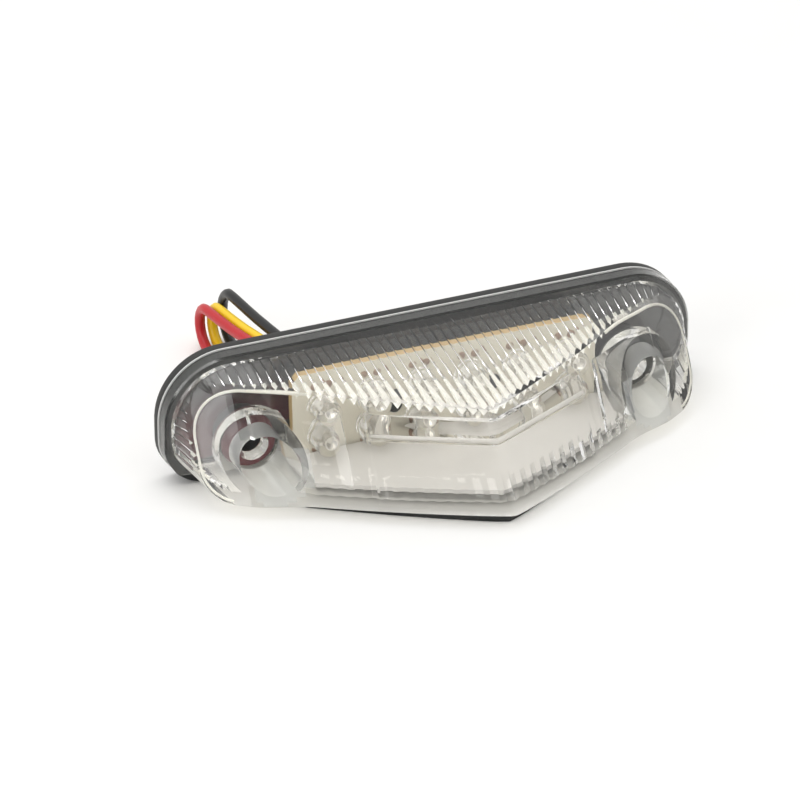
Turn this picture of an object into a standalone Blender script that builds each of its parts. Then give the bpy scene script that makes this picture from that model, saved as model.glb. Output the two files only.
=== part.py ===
"""Compact LED tail light: clear lens with a V front, black back shell, board with LEDs, three leads.

The light stands on its roof plate. X runs along its length, +Z is up, and it shines towards -Y.
"out" below is the distance in front of the mounting face. Sizes are in millimetres and become metres
when a mesh is made.
"""

import math

import bmesh
import bpy
from mathutils import Vector

MM = 0.001
GAP = 0.3  # clearance between touching pieces

# Driving dimensions
LENGTH = 100.0
HEIGHT = 23.6
DEPTH = 41.3
FLANGE_TOP_R = 12.0
FLANGE_BOTTOM_R = 8.0

# Gasket and back shell
GASKET_T = 2.0
SHELL_INSET = 0.4
SHELL_FRONT = 5.0
ROOF_T = 2.1
# The roof plate is a narrower V than the lens: it ends this far behind the lens's front edge
ROOF_SETBACK = 2.2
ROOF_SETBACK_RISE = 0.07  # more setback for each millimetre from the middle
ROOF_ARM_X = 30.0
ROOF_SIDE_X = 34.0
ROOF_SIDE_OUT = 16.0
POCKET_FLOOR = 1.8  # shell wall left behind the board

# Lens
RIM_OUT = SHELL_FRONT + GAP
RIM_INSET = 1.0
FACE_INSET = 3.3
LENS_WALL = 1.4
FACE_WALL = 2.4
LENS_BOTTOM = ROOF_T + GAP
ARM_SLOPE = 0.47  # how the V's arms run back from the apex, and how much they bow
ARM_BOW = 0.0026
FACE_LEAN = 0.57  # how far the V faces lean back for each millimetre of height
LOBE_BULGE = 2.1  # how far the two screw lobes stand out of the arms' lean
LOBE_SPAN = (30.0, 40.0)
NOSE_X = 20.4  # half width of the central nose
NOSE_DROP = 2.0  # how far the front edge dips at the nose
NOSE_TOP_OUT = 32.0
RIDGE_OUT = 32.5
RIDGE_DROP = 10.8
RIDGE_DROP_END = 9.8

# Screw fixings
BORE_X = 36.0
BORE_Z = 8.8
BORE_FLOOR = 11.2
BORE_FLOOR_T = 2.0
BORE_FLOOR_R = 4.4
BORE_MOUTH_R = 5.2
BORE_MOUTH_OUT = 24.0
TUBE_R = 6.9
SCREW_HOLE_R = 2.25
SCREW_LEAD_IN_R = 2.8
BOSS_R = 4.6

# Board and what it carries
BOARD_HALF = 28.4
BOARD_BACK = 8.7
BOARD_T = 1.6
BOARD_BOTTOM = 4.4
BOARD_TOP = 19.5
BOARD_CHAMFER = 1.3
LED_PITCH = 9.2
LED_PER_ROW = 6
LED_ROWS = {"lower": 7.9, "upper": 13.5}
LED_R = 2.4
LED_FLANGE_R = 2.75
LED_FLANGE_T = 0.8
LED_LENGTH = 5.8
STAKE_X = LED_PITCH
STAKE_Z = 10.7
STAKE_PIN_R = 1.0
STAKE_HEAD_R = 1.5
STAKE_HEAD_T = 0.6
POST_R = 1.6
POST_X = 26.3
POST_Z = 16.6

# Parts soldered to the board's back: (size along X, thickness, lowest z, highest z)
RESISTOR = (3.2, 0.7, 16.0, 17.7)
RESISTOR_X = (-5.0, 0.0, 5.0)
DIODE = (4.4, 2.1, 6.4, 9.1)
DIODE_X = {"diode_tail": -3.4, "diode_brake": 3.4}

# Light plate on the chamber's floor
REFLECTOR_HALF = 28.6
REFLECTOR_T = 0.8
REFLECTOR_SETBACK = 4.9  # from the front edge of the lens
REFLECTOR_GAP = 0.5  # in front of the board

# Leads
LEAD_R = 0.95
LEAD_X = {"lead_red": -22.2, "lead_yellow": -20.0, "lead_black": -17.8}
LEAD_Z = 11.5
TURN_OUT = -37.5  # where the leads fold down and come back along the floor
TURN_TOP = {"lead_red": 9.0, "lead_yellow": 8.7, "lead_black": 10.9}
TURN_X = {"lead_red": -25.2, "lead_yellow": -22.9, "lead_black": -20.4}
FLOOR_LEAD_Z = LEAD_R + 0.05
DROOP = ((-10.0, 0.1), (-19.0, 0.36), (-28.0, 0.72))  # (out, share of the way to the fold)
LEAD_POINT_SPACING = 2.4
COIL_X = -12.1
COIL_OUT = -17.0
COIL_INNER_R = 7.4
COIL_OUTER_R = 14.2
COIL_HEIGHT = 4.6
SEAL_HALF_X = 4.5
SEAL_HALF_Z = 2.0
SEAL_SHOULDER = 1.1
SEAL_SHOULDER_T = 1.2
SEAL_END = 1.6  # how far the plug stands past the shell's inner face
WINDOW_CLEARANCE = 0.6


def clear_scene():
    for obj in list(bpy.data.objects):
        bpy.data.objects.remove(obj, do_unlink=True)


def place(x, out, z):
    """World position in metres of a point given along, in front of the mounting face, and up."""
    return Vector((x, DEPTH / 2.0 - out, z)) * MM


def material(name, colour, roughness, metallic=0.0, transmission=0.0):
    mat = bpy.data.materials.new(name)
    mat.use_nodes = True
    shader = mat.node_tree.nodes["Principled BSDF"]
    shader.inputs["Base Color"].default_value = (*colour, 1.0)
    shader.inputs["Roughness"].default_value = roughness
    shader.inputs["Metallic"].default_value = metallic
    shader.inputs["Transmission Weight"].default_value = transmission
    mat.diffuse_color = (*colour, 1.0)
    return mat


def add_object(name, bm, mat, smooth_angle=30.0):
    """Turn a bmesh into a named object with outward faces."""
    bmesh.ops.remove_doubles(bm, verts=bm.verts, dist=1e-6)
    bmesh.ops.recalc_face_normals(bm, faces=bm.faces)
    mesh = bpy.data.meshes.new(name)
    bm.to_mesh(mesh)
    bm.free()
    mesh.shade_smooth()
    mesh.set_sharp_from_angle(angle=math.radians(smooth_angle))
    obj = bpy.data.objects.new(name, mesh)
    if mat is not None:
        mesh.materials.append(mat)
    bpy.context.scene.collection.objects.link(obj)
    return obj


def add_ring(bm, points):
    """Make a closed loop of vertices from (x, out, z) points."""
    return [bm.verts.new(place(*p)) for p in points]


def bridge(bm, first, second):
    count = len(first)
    for i in range(count):
        j = (i + 1) % count
        bm.faces.new((first[i], first[j], second[j], second[i]))


def loft(name, rings, mat, smooth_angle=30.0):
    """Skin a stack of rings with equal point counts and cap both ends."""
    bm = bmesh.new()
    loops = [add_ring(bm, ring) for ring in rings]
    for first, second in zip(loops, loops[1:]):
        bridge(bm, first, second)
    bm.faces.new(loops[0])
    bm.faces.new(loops[-1])
    return add_object(name, bm, mat, smooth_angle)


def turned(name, x, z, profile, mat, sides=20):
    """Turn a profile of (radius, out) pairs about an axis along the light's outward direction."""
    rings = []
    for radius, out in profile:
        ring = []
        for k in range(sides):
            angle = 2.0 * math.pi * k / sides
            ring.append((x + radius * math.cos(angle), out, z + radius * math.sin(angle)))
        rings.append(ring)
    return loft(name, rings, mat)


def box(name, x_span, out_span, z_span, mat):
    x0, x1 = x_span
    z0, z1 = z_span
    rings = [[(x0, out, z0), (x1, out, z0), (x1, out, z1), (x0, out, z1)] for out in out_span]
    return loft(name, rings, mat)


def around(centre, half):
    return centre - half, centre + half


def apply_boolean(target, tool, operation):
    """Cut or join two closed solids and keep the result in the target's mesh."""
    mod = target.modifiers.new(operation.title(), "BOOLEAN")
    mod.object = tool
    mod.operation = operation
    mod.solver = "EXACT"
    depsgraph = bpy.context.evaluated_depsgraph_get()
    mesh = bpy.data.meshes.new_from_object(target.evaluated_get(depsgraph))
    target.modifiers.clear()
    target.data = mesh
    bpy.data.objects.remove(tool, do_unlink=True)
    mesh.shade_smooth()
    mesh.set_sharp_from_angle(angle=math.radians(30.0))


def cut(target, tool):
    apply_boolean(target, tool, "DIFFERENCE")


def join(target, tool):
    apply_boolean(target, tool, "UNION")


def arc(cx, cz, radius, start, end, steps):
    """Points of an arc in the X-Z plane, both ends included, angles in degrees."""
    points = []
    for k in range(steps + 1):
        angle = math.radians(start + (end - start) * k / steps)
        points.append((cx + radius * math.cos(angle), cz + radius * math.sin(angle)))
    return points


def plate_outline(inset, z_low, corner_steps=8):
    """Outline of the flange seen from the front, moved in by inset, its flat bottom at z_low."""
    half = LENGTH / 2.0 - inset
    top = HEIGHT - inset
    top_r = FLANGE_TOP_R - inset
    low_r = FLANGE_BOTTOM_R - inset
    points = arc(half - top_r, top - top_r, top_r, 0.0, 90.0, corner_steps)
    points += arc(top_r - half, top - top_r, top_r, 90.0, 180.0, corner_steps)
    points += arc(low_r - half, z_low + low_r, low_r, 180.0, 270.0, corner_steps)
    points += arc(half - low_r, z_low + low_r, low_r, 270.0, 360.0, corner_steps)
    return points


def v_edge(x):
    """Distance out of the bottom front edge: two gently bowed arms that meet at the apex."""
    return DEPTH - ARM_SLOPE * abs(x) - ARM_BOW * x * x


def ridge_drop(x):
    """How far the nose's crease lies below the flange's top."""
    return RIDGE_DROP + (RIDGE_DROP_END - RIDGE_DROP) * min(1.0, abs(x) / NOSE_X)


def face_out(x, z):
    """Distance out of the lens's front surface at a point seen from the front."""
    drop = HEIGHT - z
    low_drop = HEIGHT - LENS_BOTTOM
    bottom = v_edge(x)
    leaning = bottom - FACE_LEAN * (low_drop - drop)
    share = min(1.0, abs(x) / NOSE_X)
    if share >= 1.0:
        start, end = LOBE_SPAN
        rise = min(1.0, max(0.0, (abs(x) - start) / (end - start)))
        return leaning + LOBE_BULGE * rise * rise * (3.0 - 2.0 * rise)
    edge_drop = face_edge_drop(x)
    crease_drop = ridge_drop(x)
    end_bottom = v_edge(NOSE_X)
    end_ridge = end_bottom - FACE_LEAN * (low_drop - RIDGE_DROP_END)
    end_top = end_bottom - FACE_LEAN * (low_drop - face_edge_drop(NOSE_X))
    ridge = RIDGE_OUT + (end_ridge - RIDGE_OUT) * share
    top = NOSE_TOP_OUT + (end_top - NOSE_TOP_OUT) * share
    if drop < crease_drop:
        return top + (ridge - top) * (drop - edge_drop) / (crease_drop - edge_drop)
    return ridge + (bottom - ridge) * (drop - crease_drop) / (low_drop - crease_drop)


def face_edge_drop(x):
    """How far the front face's top edge lies below the flange's top."""
    straight = LENGTH / 2.0 - FLANGE_TOP_R
    return FACE_INSET + NOSE_DROP * max(0.0, 1.0 - abs(x) / straight)


def split_outline(inset, z_low, top_z, stations, corner_steps=7):
    """Top and bottom halves of an inset outline, from the left end to the right, point for point."""
    half = LENGTH / 2.0 - inset
    top_r = FLANGE_TOP_R - inset
    low_r = max(2.0, FLANGE_BOTTOM_R - inset)
    straight = half - top_r
    corner_z = top_z(straight) - top_r
    waist = 0.5 * (corner_z + z_low + low_r)
    top_corner = arc(straight, corner_z, top_r, 90.0, 0.0, corner_steps)[1:-1]
    low_corner = arc(half - low_r, z_low + low_r, low_r, -90.0, 0.0, corner_steps - 1)[1:]
    top_right = [(straight, top_z(straight))] + top_corner + [(half, waist)]
    low_right = [(straight, z_low)] + low_corner + [(half, waist)]
    middle = [x for x in stations if abs(x) < straight - 1e-6]
    top = [(-x, z) for x, z in reversed(top_right)]
    top += [(x, top_z(x)) for x in middle] + top_right
    low = [(-x, z) for x, z in reversed(low_right)]
    low += [(x, z_low) for x in middle] + low_right
    return top, low


def lens_stations():
    side = [NOSE_X * share for share in (0.25, 0.5, 0.75, 1.0)] + [24.5, 29.0, 33.5]
    return [-x for x in reversed(side)] + [0.0] + side


def lens_solid(name, wall, face_wall, rim_out, mat):
    """Closed lens body: ruled walls from the rim to the front outline, then the V front."""
    stations = lens_stations()
    low = LENS_BOTTOM + wall
    bm = bmesh.new()

    def rim_top(x):
        return HEIGHT - RIM_INSET - wall

    def front_top(x):
        return HEIGHT - face_edge_drop(x) - wall

    def crease_z(x):
        return HEIGHT - ridge_drop(x)

    def depth(x, z):
        return face_out(x, z) - face_wall

    def rim_depth(x, z):
        return rim_out

    def loop_of(halves, out):
        top, bottom = halves
        points = list(top) + list(reversed(bottom[1:-1]))
        return [bm.verts.new(place(x, out(x, z), z)) for x, z in points]

    rim = split_outline(RIM_INSET + wall, low, rim_top, stations)
    front = split_outline(FACE_INSET + wall, low, front_top, stations)
    rim_loop = loop_of(rim, rim_depth)
    front_loop = loop_of(front, depth)
    bridge(bm, rim_loop, front_loop)
    bm.faces.new(rim_loop)

    count = len(front[0])
    tops = front_loop[:count]
    lows = [front_loop[0]] + list(reversed(front_loop[count:])) + [front_loop[count - 1]]
    rows = [tops]
    for share in (0.0, 0.34, 0.67):
        row = []
        for (xt, zt), (xb, zb) in zip(*front):
            crease = min(max(crease_z(xt), zb + 0.45 * (zt - zb)), zt)
            z = crease + (zb - crease) * share
            x = xt + (xb - xt) * (zt - z) / max(zt - zb, 1e-6)
            row.append(bm.verts.new(place(x, depth(x, z), z)))
        row[0], row[-1] = front_loop[0], front_loop[count - 1]
        rows.append(row)
    rows.append(lows)
    for upper, lower in zip(rows, rows[1:]):
        for i in range(count - 1):
            corners = []
            for vert in (upper[i], upper[i + 1], lower[i + 1], lower[i]):
                if vert not in corners:
                    corners.append(vert)
            bm.faces.new(corners)
    loose = [v for v in bm.verts if not v.link_faces]
    bmesh.ops.delete(bm, geom=loose, context="VERTS")
    bmesh.ops.triangulate(bm, faces=[f for f in bm.faces if len(f.verts) == 4])
    return add_object(name, bm, mat, 25.0)


def build_lens(mat):
    lens = lens_solid("lens", 0.0, 0.0, RIM_OUT, mat)
    cavity = lens_solid("cavity", LENS_WALL, FACE_WALL, RIM_OUT - 1.0, None)
    for side in (-1, 1):
        wall = [(TUBE_R, BORE_FLOOR - BORE_FLOOR_T), (TUBE_R, DEPTH)]
        cut(cavity, turned("tube", side * BORE_X, BORE_Z, wall, None, 28))
    cut(lens, cavity)
    for side in (-1, 1):
        x = side * BORE_X
        slope = (BORE_MOUTH_R - BORE_FLOOR_R) / (BORE_MOUTH_OUT - BORE_FLOOR)
        recess = [(BORE_FLOOR_R, BORE_FLOOR), (BORE_FLOOR_R + slope * (DEPTH - BORE_FLOOR), DEPTH)]
        cut(lens, turned("recess", x, BORE_Z, recess, None, 28))
        start = BORE_FLOOR - BORE_FLOOR_T
        hole = [(SCREW_HOLE_R, start - 1.0), (SCREW_HOLE_R, start + 0.4), (SCREW_LEAD_IN_R, BORE_FLOOR),
                (SCREW_LEAD_IN_R, BORE_FLOOR + 1.0)]
        cut(lens, turned("hole", x, BORE_Z, hole, None, 20))
    return lens


def roof_outline():
    """Half of the roof plate's plan outline: the arm, a cut corner, then the straight side."""
    steps = 6
    side = []
    for k in range(steps + 1):
        x = ROOF_ARM_X * k / steps
        side.append((x, v_edge(x) - ROOF_SETBACK - ROOF_SETBACK_RISE * x))
    return side + [(ROOF_SIDE_X, ROOF_SIDE_OUT), (ROOF_SIDE_X, SHELL_FRONT - 0.5)]


def build_base(mat):
    back = GASKET_T + GAP
    outline = plate_outline(SHELL_INSET, 0.0)
    base = loft("base_housing", [[(x, out, z) for x, z in outline] for out in (back, SHELL_FRONT)], mat)
    pocket = plate_outline(RIM_INSET + LENS_WALL, LENS_BOTTOM + LENS_WALL)
    floor = back + POCKET_FLOOR
    rings = [[(x, out, z) for x, z in pocket] for out in (floor, SHELL_FRONT + 1.0)]
    cut(base, loft("pocket", rings, None))
    edge = roof_outline()
    plan = edge + [(-x, out) for x, out in reversed(edge[1:])]
    join(base, loft("roof", [[(x, out, z) for x, out in plan] for z in (0.0, ROOF_T)], None))
    foot = floor - 0.5
    seat = BOARD_BACK - GAP
    front = BOARD_BACK + BOARD_T + GAP
    for side in (-1, 1):
        boss = [(BOSS_R, foot), (BOSS_R, BORE_FLOOR - BORE_FLOOR_T - GAP)]
        join(base, turned("boss", side * BORE_X, BORE_Z, boss, None, 24))
        join(base, turned("post", side * POST_X, POST_Z, [(POST_R, foot), (POST_R, seat)], None, 12))
        stake = [(POST_R, foot), (POST_R, seat), (STAKE_PIN_R, seat), (STAKE_PIN_R, front),
                 (STAKE_HEAD_R, front), (STAKE_HEAD_R * 0.75, front + STAKE_HEAD_T)]
        join(base, turned("stake", side * STAKE_X, STAKE_Z, stake, None, 12))
        hole = [(SCREW_HOLE_R, 0.0), (SCREW_HOLE_R, BORE_FLOOR)]
        cut(base, turned("hole", side * BORE_X, BORE_Z, hole, None, 20))
    x = LEAD_X["lead_yellow"]
    cut(base, box("slot", around(x, SEAL_HALF_X + GAP), (0.0, SHELL_FRONT),
                  around(LEAD_Z, SEAL_HALF_Z + GAP), None))
    return base


def build_gasket(mat):
    outline = plate_outline(0.0, 0.0)
    gasket = loft("mounting_gasket", [[(x, out, z) for x, z in outline] for out in (0.0, GASKET_T)], mat)
    for side in (-1, 1):
        hole = [(SCREW_HOLE_R + 0.4, -1.0), (SCREW_HOLE_R + 0.4, GASKET_T + 1.0)]
        cut(gasket, turned("hole", side * BORE_X, BORE_Z, hole, None, 20))
    x = LEAD_X["lead_yellow"]
    cut(gasket, box("window", around(x, SEAL_HALF_X + WINDOW_CLEARANCE), (-1.0, GASKET_T + 1.0),
                    around(LEAD_Z, SEAL_HALF_Z + WINDOW_CLEARANCE), None))
    return gasket


def build_seal(mat):
    x = LEAD_X["lead_yellow"]
    inner = GASKET_T + GAP + POCKET_FLOOR + GAP
    seal = box("lead_seal", around(x, SEAL_HALF_X), (GAP, inner + SEAL_END),
               around(LEAD_Z, SEAL_HALF_Z), mat)
    join(seal, box("shoulder", around(x, SEAL_HALF_X + SEAL_SHOULDER), (inner, inner + SEAL_SHOULDER_T),
                   around(LEAD_Z, SEAL_HALF_Z + SEAL_SHOULDER), None))
    for lead_x in LEAD_X.values():
        passage = [(LEAD_R + GAP, -1.0), (LEAD_R + GAP, inner + SEAL_END + 1.0)]
        cut(seal, turned("passage", lead_x, LEAD_Z, passage, None, 12))
    return seal


def build_board(mat):
    cham = BOARD_CHAMFER
    outline = [(-BOARD_HALF, BOARD_BOTTOM), (BOARD_HALF, BOARD_BOTTOM),
               (BOARD_HALF, BOARD_TOP - cham), (BOARD_HALF - cham, BOARD_TOP),
               (cham - BOARD_HALF, BOARD_TOP), (-BOARD_HALF, BOARD_TOP - cham)]
    board = loft("circuit_board", [[(x, out, z) for x, z in outline]
                                   for out in (BOARD_BACK, BOARD_BACK + BOARD_T)], mat)
    for side in (-1, 1):
        hole = [(STAKE_PIN_R + GAP, BOARD_BACK - 1.0), (STAKE_PIN_R + GAP, BOARD_BACK + BOARD_T + 1.0)]
        cut(board, turned("hole", side * STAKE_X, STAKE_Z, hole, None, 12))
    return board


def build_leds(mat):
    seat = BOARD_BACK + BOARD_T + GAP
    body = seat + LED_LENGTH - LED_R
    step = seat + LED_FLANGE_T
    profile = [(LED_FLANGE_R, seat), (LED_FLANGE_R, step), (LED_R, step), (LED_R, body)]
    for degrees in (25.0, 50.0, 75.0):
        angle = math.radians(degrees)
        profile.append((LED_R * math.cos(angle), body + LED_R * math.sin(angle)))
    for row, z in LED_ROWS.items():
        for n in range(LED_PER_ROW):
            x = (n - (LED_PER_ROW - 1) / 2.0) * LED_PITCH
            turned(f"led_{row}_{n + 1}", x, z, profile, mat, 16)


def build_components(resistor_mat, diode_mat):
    back = BOARD_BACK - GAP
    for n, x in enumerate(RESISTOR_X):
        length, thick, low, high = RESISTOR
        box(f"resistor_{n + 1}", around(x, length / 2.0), (back - thick, back), (low, high), resistor_mat)
    for name, x in DIODE_X.items():
        length, thick, low, high = DIODE
        box(name, around(x, length / 2.0), (back - thick, back), (low, high), diode_mat)


def build_reflector(mat):
    low = LENS_BOTTOM + LENS_WALL + GAP
    steps = 5
    edge = []
    for k in range(steps + 1):
        x = REFLECTOR_HALF * k / steps
        edge.append((x, v_edge(x) - REFLECTOR_SETBACK))
    plan = edge + [(REFLECTOR_HALF, BOARD_BACK + BOARD_T + REFLECTOR_GAP)]
    plan += [(-x, out) for x, out in reversed(plan[1:])]
    loft("reflector_plate", [[(x, out, z) for x, out in plan] for z in (low, low + REFLECTOR_T)], mat)


def smooth_path(points, spacing):
    """Points of a smooth curve through the route's own points, about spacing apart."""
    pts = [Vector(p) for p in points]
    pts = [pts[0] * 2.0 - pts[1]] + pts + [pts[-1] * 2.0 - pts[-2]]
    fine = []
    for a, b, c, d in zip(pts, pts[1:], pts[2:], pts[3:]):
        for k in range(24):
            t = k / 24.0
            fine.append(0.5 * ((2.0 * b) + (c - a) * t + (2.0 * a - 5.0 * b + 4.0 * c - d) * t * t
                               + (3.0 * b - a - 3.0 * c + d) * t * t * t))
    fine.append(pts[-2])
    total = sum((q - p).length for p, q in zip(fine, fine[1:]))
    count = max(2, round(total / spacing))
    step = total / count
    result, walked, target = [fine[0]], 0.0, step
    for p, q in zip(fine, fine[1:]):
        part = (q - p).length
        while walked + part >= target - 1e-9 and len(result) < count:
            result.append(p.lerp(q, (target - walked) / part))
            target += step
        walked += part
    result.append(fine[-1])
    return result


def lead_route(name):
    """Where a lead runs: back from the board, drooping, folded down, and along the floor to the coil."""
    x = LEAD_X[name]
    turn_x = TURN_X[name]
    top = TURN_TOP[name]
    radius = (top - FLOOR_LEAD_Z) / 2.0
    route = [(x, BOARD_BACK - 0.6, LEAD_Z), (x, 3.0, LEAD_Z), (x, -3.0, LEAD_Z)]
    for out, share in DROOP:
        route.append((x + (turn_x - x) * share, out, LEAD_Z + (top - LEAD_Z) * share))
    for k in range(7):
        angle = math.pi * k / 6.0
        height = FLOOR_LEAD_Z + radius + radius * math.cos(angle)
        route.append((turn_x, TURN_OUT - radius * math.sin(angle), height))
    offset = COIL_X - turn_x - LEAD_R
    end = COIL_OUT - math.sqrt(COIL_OUTER_R ** 2 - offset ** 2) - 0.5
    route.append((turn_x, 0.5 * (TURN_OUT + end), FLOOR_LEAD_Z))
    route.append((turn_x, end, FLOOR_LEAD_Z))
    return route


def build_lead(name, mat):
    path = smooth_path(lead_route(name), LEAD_POINT_SPACING)
    curve = bpy.data.curves.new(name, "CURVE")
    curve.dimensions = "3D"
    spline = curve.splines.new("POLY")
    spline.points.add(len(path) - 1)
    for point, position in zip(spline.points, path):
        point.co = (*place(*position), 1.0)
    curve.bevel_depth = LEAD_R * MM
    curve.bevel_resolution = 2
    curve.use_fill_caps = True
    curve.materials.append(mat)
    bpy.context.scene.collection.objects.link(bpy.data.objects.new(name, curve))


def build_coil(mat):
    bm = bmesh.new()
    section = [(COIL_INNER_R, 0.0), (COIL_OUTER_R, 0.0),
               (COIL_OUTER_R, COIL_HEIGHT), (COIL_INNER_R, COIL_HEIGHT)]
    sides = 32
    loops = []
    for k in range(sides):
        angle = 2.0 * math.pi * k / sides
        ring = [(COIL_X + r * math.cos(angle), COIL_OUT + r * math.sin(angle), z) for r, z in section]
        loops.append(add_ring(bm, ring))
    for k in range(sides):
        bridge(bm, loops[k], loops[(k + 1) % sides])
    return add_object("lead_coil", bm, mat)


def main():
    clear_scene()
    black_plastic = material("black_plastic", (0.022, 0.022, 0.023), 0.42)
    black_rubber = material("black_rubber", (0.018, 0.018, 0.018), 0.75)
    clear_plastic = material("clear_plastic", (0.93, 0.94, 0.92), 0.05, transmission=1.0)
    board_white = material("board_white", (0.78, 0.74, 0.64), 0.5)
    led_clear = material("led_epoxy", (0.90, 0.90, 0.86), 0.08, transmission=0.9)
    reflector_white = material("reflector_white", (0.80, 0.80, 0.77), 0.45)
    resistor_black = material("resistor_ceramic", (0.05, 0.05, 0.05), 0.5)
    diode_black = material("diode_epoxy", (0.03, 0.03, 0.03), 0.45)
    sleeve = {
        "lead_red": material("sleeve_red", (0.58, 0.02, 0.03), 0.38),
        "lead_yellow": material("sleeve_yellow", (0.80, 0.52, 0.01), 0.38),
        "lead_black": material("sleeve_black", (0.02, 0.02, 0.02), 0.38),
    }
    build_gasket(black_rubber)
    build_base(black_plastic)
    build_lens(clear_plastic)
    build_board(board_white)
    build_leds(led_clear)
    build_components(resistor_black, diode_black)
    build_reflector(reflector_white)
    build_seal(black_rubber)
    for name in LEAD_X:
        build_lead(name, sleeve[name])
    build_coil(sleeve["lead_black"])


main()
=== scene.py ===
"""Looks of the compact LED tail light: clear ribbed lens, black shell and gasket, LED board and leads."""
import math

import bpy
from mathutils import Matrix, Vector


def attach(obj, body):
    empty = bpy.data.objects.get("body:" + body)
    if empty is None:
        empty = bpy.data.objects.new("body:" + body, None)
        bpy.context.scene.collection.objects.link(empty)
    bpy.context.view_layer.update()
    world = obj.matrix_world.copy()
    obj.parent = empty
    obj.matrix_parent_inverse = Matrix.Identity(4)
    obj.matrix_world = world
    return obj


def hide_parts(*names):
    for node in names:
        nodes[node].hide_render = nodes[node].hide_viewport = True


MM = 0.001  # every size below is in millimetres
DEPTH = 41.3  # from the mounting face to the apex
HEIGHT = 23.6
HALF = 50.0  # half of the length
TOP_R = 12.0  # corners of the outline, over and under
LOW_R = 8.0
END_X = 38.0  # where the top corners start
FOOT_X = HALF - LOW_R  # where the bottom corners start
NOSE_X = 20.4  # where the nose meets the arms
PLATE_X = 23.6  # where the plate of an arm starts
FAR_OUT = 60.0  # well past the apex
LENS_LOW = 2.4  # underside of the lens between its feet
RIM_OUT = 5.3  # front of the skirt, where the ribbed wall starts
RIM_INSET = 1.0
FACE_INSET = 3.3
WALL = 1.3
FACE_WALL = 2.2
BORE_X = 36.0  # the two screw holes and the floor of their recesses
BORE_Z = 8.8
BORE_FLOOR = 11.2
HOLE_R = 2.25
RIB_PITCH = 1.64
WALL_STEP = 1.3  # points round the lens
SHELL_STEP = 1.0  # points round the shell and gasket
FLOOR_STEPS = 12  # points along a straight bottom edge
SAME_POINT = 0.0004
CUT_TRIES = 12
CUT_NUDGE = 0.007
WHOLE_LENS = 7500  # a hollowed lens has more points than this, and a broken one has fewer
LED_PITCH = 9.2
LEDS_IN_ROW = 6
BOARD_FACE = 10.25
LEAD_R = 0.95
LEAD_Z = 11.5  # height at which the leads leave the back

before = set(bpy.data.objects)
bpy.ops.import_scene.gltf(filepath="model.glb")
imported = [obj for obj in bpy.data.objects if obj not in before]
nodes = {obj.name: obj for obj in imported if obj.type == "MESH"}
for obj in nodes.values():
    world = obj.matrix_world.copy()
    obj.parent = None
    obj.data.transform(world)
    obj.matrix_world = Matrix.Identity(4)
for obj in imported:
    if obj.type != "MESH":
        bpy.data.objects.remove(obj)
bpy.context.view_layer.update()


# ---------------------------------------------------------------- small helpers

def spot(x, out, z):
    """A place given along the light, out from its mounting face, and up, in millimetres."""
    return Vector((x, DEPTH / 2.0 - out, z)) * MM


def deselect():
    if bpy.context.object is not None and bpy.context.object.mode != "OBJECT":
        bpy.ops.object.mode_set(mode="OBJECT")
    bpy.ops.object.select_all(action="DESELECT")


def pick(obj):
    deselect()
    obj.select_set(True)
    bpy.context.view_layer.objects.active = obj


def settle(obj):
    """Put the piece's place into its mesh, so its object sits at the origin."""
    pick(obj)
    bpy.ops.object.transform_apply(location=True, rotation=True, scale=True)
    return obj


def tidy_mesh(obj, close=True):
    """Merge doubled points, close what is open and turn the faces outwards."""
    pick(obj)
    bpy.ops.object.mode_set(mode="EDIT")
    bpy.ops.mesh.select_all(action="SELECT")
    bpy.ops.mesh.remove_doubles(threshold=SAME_POINT * MM)
    if close:
        bpy.ops.mesh.fill_holes(sides=0)
    bpy.ops.mesh.select_all(action="SELECT")
    bpy.ops.mesh.normals_make_consistent(inside=False)
    bpy.ops.object.mode_set(mode="OBJECT")
    return obj


def grid(name, rows):
    """A primitive grid whose points are laid out row by row."""
    deselect()
    bpy.ops.mesh.primitive_grid_add(x_subdivisions=len(rows[0]) - 1, y_subdivisions=len(rows) - 1, size=1.0)
    obj = bpy.context.object
    obj.name = name
    flat = [c for row in rows for point in row for c in spot(*point)]
    obj.location = (0.0, 0.0, 0.0)
    obj.data.vertices.foreach_set("co", flat)
    obj.data.update()
    return obj


def prism(name, rings):
    """A closed body skinned over a stack of rings with equal point counts."""
    return tidy_mesh(grid(name, [list(ring) + [ring[0]] for ring in rings]))


def modify(obj, kind, **settings):
    """Add a modifier and apply it."""
    pick(obj)
    bpy.ops.object.modifier_add(type=kind)
    mod = obj.modifiers[-1]
    for key, value in settings.items():
        setattr(mod, key, value)
    bpy.ops.object.modifier_apply(modifier=mod.name)
    return obj


def boolean(obj, tool, operation):
    """Cut or join one body with another, which is used up."""
    modify(obj, "BOOLEAN", object=tool, operation=operation, solver="EXACT")
    bpy.data.objects.remove(tool, do_unlink=True)
    return obj


def smooth(obj, degrees=30.0):
    pick(obj)
    bpy.ops.object.shade_smooth_by_angle(angle=math.radians(degrees))
    return obj


def finish_piece(obj, mat, slot, *replaced):
    """Give a piece its material, let it ride, and hide the parts that it replaces."""
    obj.data.materials.clear()
    obj.data.materials.append(mat)
    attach(obj, "root")
    if replaced:
        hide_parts(*replaced)
    return obj


def turned(name, x, z, profile, sides=32):
    """A round body about an axis along the light's outward direction, from (radius, out) pairs."""
    rings = []
    for radius, out in profile:
        rings.append([(x + radius * math.cos(2.0 * math.pi * k / sides), out,
                       z + radius * math.sin(2.0 * math.pi * k / sides)) for k in range(sides)])
    return prism(name, rings)


def block(name, x_span, out_span, z_span):
    """A box between two places along each axis."""
    deselect()
    low, high = spot(x_span[0], out_span[1], z_span[0]), spot(x_span[1], out_span[0], z_span[1])
    bpy.ops.mesh.primitive_cube_add(size=1.0, location=(low + high) / 2.0, scale=high - low)
    bpy.context.object.name = name
    return settle(bpy.context.object)


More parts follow.
